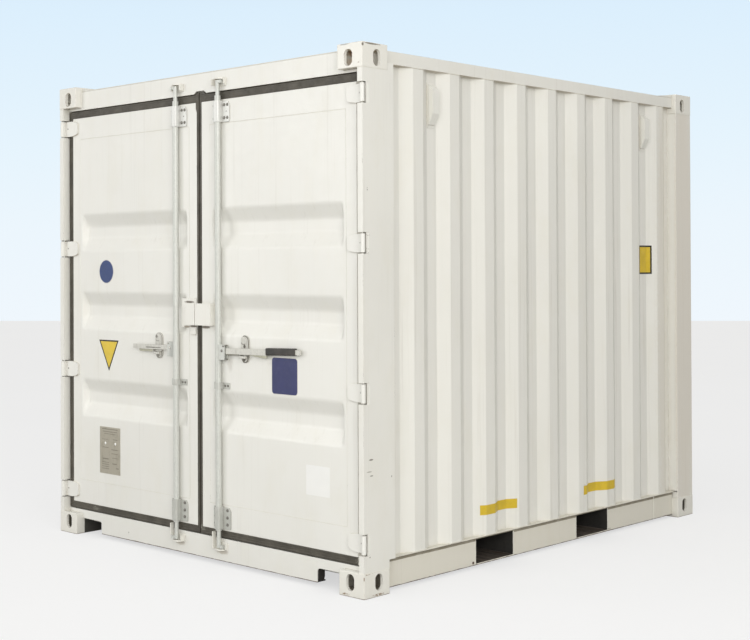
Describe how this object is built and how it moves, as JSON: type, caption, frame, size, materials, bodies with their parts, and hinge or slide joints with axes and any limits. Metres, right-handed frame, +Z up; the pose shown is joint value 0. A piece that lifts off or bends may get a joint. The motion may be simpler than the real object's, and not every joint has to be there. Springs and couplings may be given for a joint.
{
  "type": "ten-foot freight container",
  "caption": "Steel freight container with corrugated walls, corner castings, fork pockets and a pair of full-height cargo doors with vertical lock bars and lift-up handles.",
  "frame": {"origin": "on the ground at the middle of the footprint", "axes": "+Z up, +Y from the doors to the closed end, +X to the right when the doors are seen from outside"},
  "size_m": [2.438, 2.991, 2.591],
  "materials": {
    "shell_paint": "satin",
    "door_paint": "satin",
    "frame_paint": "satin, scuffed",
    "casting_paint": "painted, chipped at the edges",
    "underframe_paint": "dull, dirty",
    "galvanised": "galvanised, dull",
    "pin_steel": "dull",
    "seal_rubber": "matt",
    "grip_rubber": "matt",
    "vent_plastic": "matt",
    "floor_plywood": "sealed, worn",
    "plate_metal": "dull"
  },
  "bodies": {
    "root": {"bottom_corner_castings": "casting_paint", "top_corner_castings": "casting_paint", "right_door_post": "frame_paint", "left_door_post": "frame_paint", "hinge_pins": "pin_steel", "right_end_post": "frame_paint", "left_end_post": "frame_paint", "door_header": "frame_paint", "door_sill": "frame_paint", "right_bottom_rail": "frame_paint", "left_bottom_rail": "frame_paint", "right_top_rail": "frame_paint", "left_top_rail": "frame_paint", "right_side_wall": "shell_paint", "left_side_wall": "shell_paint", "end_bottom_rail": "frame_paint", "end_top_rail": "frame_paint", "end_wall": "shell_paint", "roof_panel": "shell_paint", "roof_corner_plates": "frame_paint", "floor_boards": "floor_plywood", "cross_members": "underframe_paint", "door_end_fork_pocket": "underframe_paint", "closed_end_fork_pocket": "underframe_paint", "ventilators": "vent_plastic", "cam_keepers": "frame_paint"},
    "right_door": {"right_door_frame": "door_paint", "right_door_panel": "door_paint", "right_door_gasket": "seal_rubber", "right_hinge_blades": "door_paint", "right_bar_brackets": "galvanised", "right_handle_catch": "galvanised", "right_lock_box": "door_paint"},
    "left_door": {"left_door_frame": "door_paint", "left_door_panel": "door_paint", "left_door_gasket": "seal_rubber", "left_hinge_blades": "door_paint", "left_bar_brackets": "galvanised", "left_handle_catch": "galvanised", "left_lock_box": "door_paint", "data_plate": "plate_metal"},
    "right_lock_bar": {"right_lock_bar": "galvanised"},
    "left_lock_bar": {"left_lock_bar": "galvanised"},
    "right_handle": {"right_handle": "galvanised", "right_handle_grip": "grip_rubber"},
    "left_handle": {"left_handle": "galvanised"}
  },
  "joints": [
    {"name": "right_door_hinge", "type": "hinge", "parent": "root", "child": "right_door", "pos_m": [1.207, -1.483, 1.3], "axis": [0, 0, 1], "range_deg": [0, 270]},
    {"name": "left_door_hinge", "type": "hinge", "parent": "root", "child": "left_door", "pos_m": [-1.207, -1.483, 1.3], "axis": [0, 0, -1], "range_deg": [0, 270]},
    {"name": "right_bar_turn", "type": "hinge", "parent": "right_door", "child": "right_lock_bar", "pos_m": [0.172, -1.4735, 1.3], "axis": [0, 0, 1], "range_deg": [-100, 0]},
    {"name": "left_bar_turn", "type": "hinge", "parent": "left_door", "child": "left_lock_bar", "pos_m": [-0.172, -1.4735, 1.3], "axis": [0, 0, -1], "range_deg": [-100, 0]},
    {"name": "right_handle_lift", "type": "hinge", "parent": "right_lock_bar", "child": "right_handle", "pos_m": [0.212, -1.4735, 1.112], "axis": [0, -1, 0], "range_deg": [0, 15]},
    {"name": "left_handle_lift", "type": "hinge", "parent": "left_lock_bar", "child": "left_handle", "pos_m": [-0.212, -1.4735, 1.112], "axis": [0, 1, 0], "range_deg": [0, 15]}
  ]
}
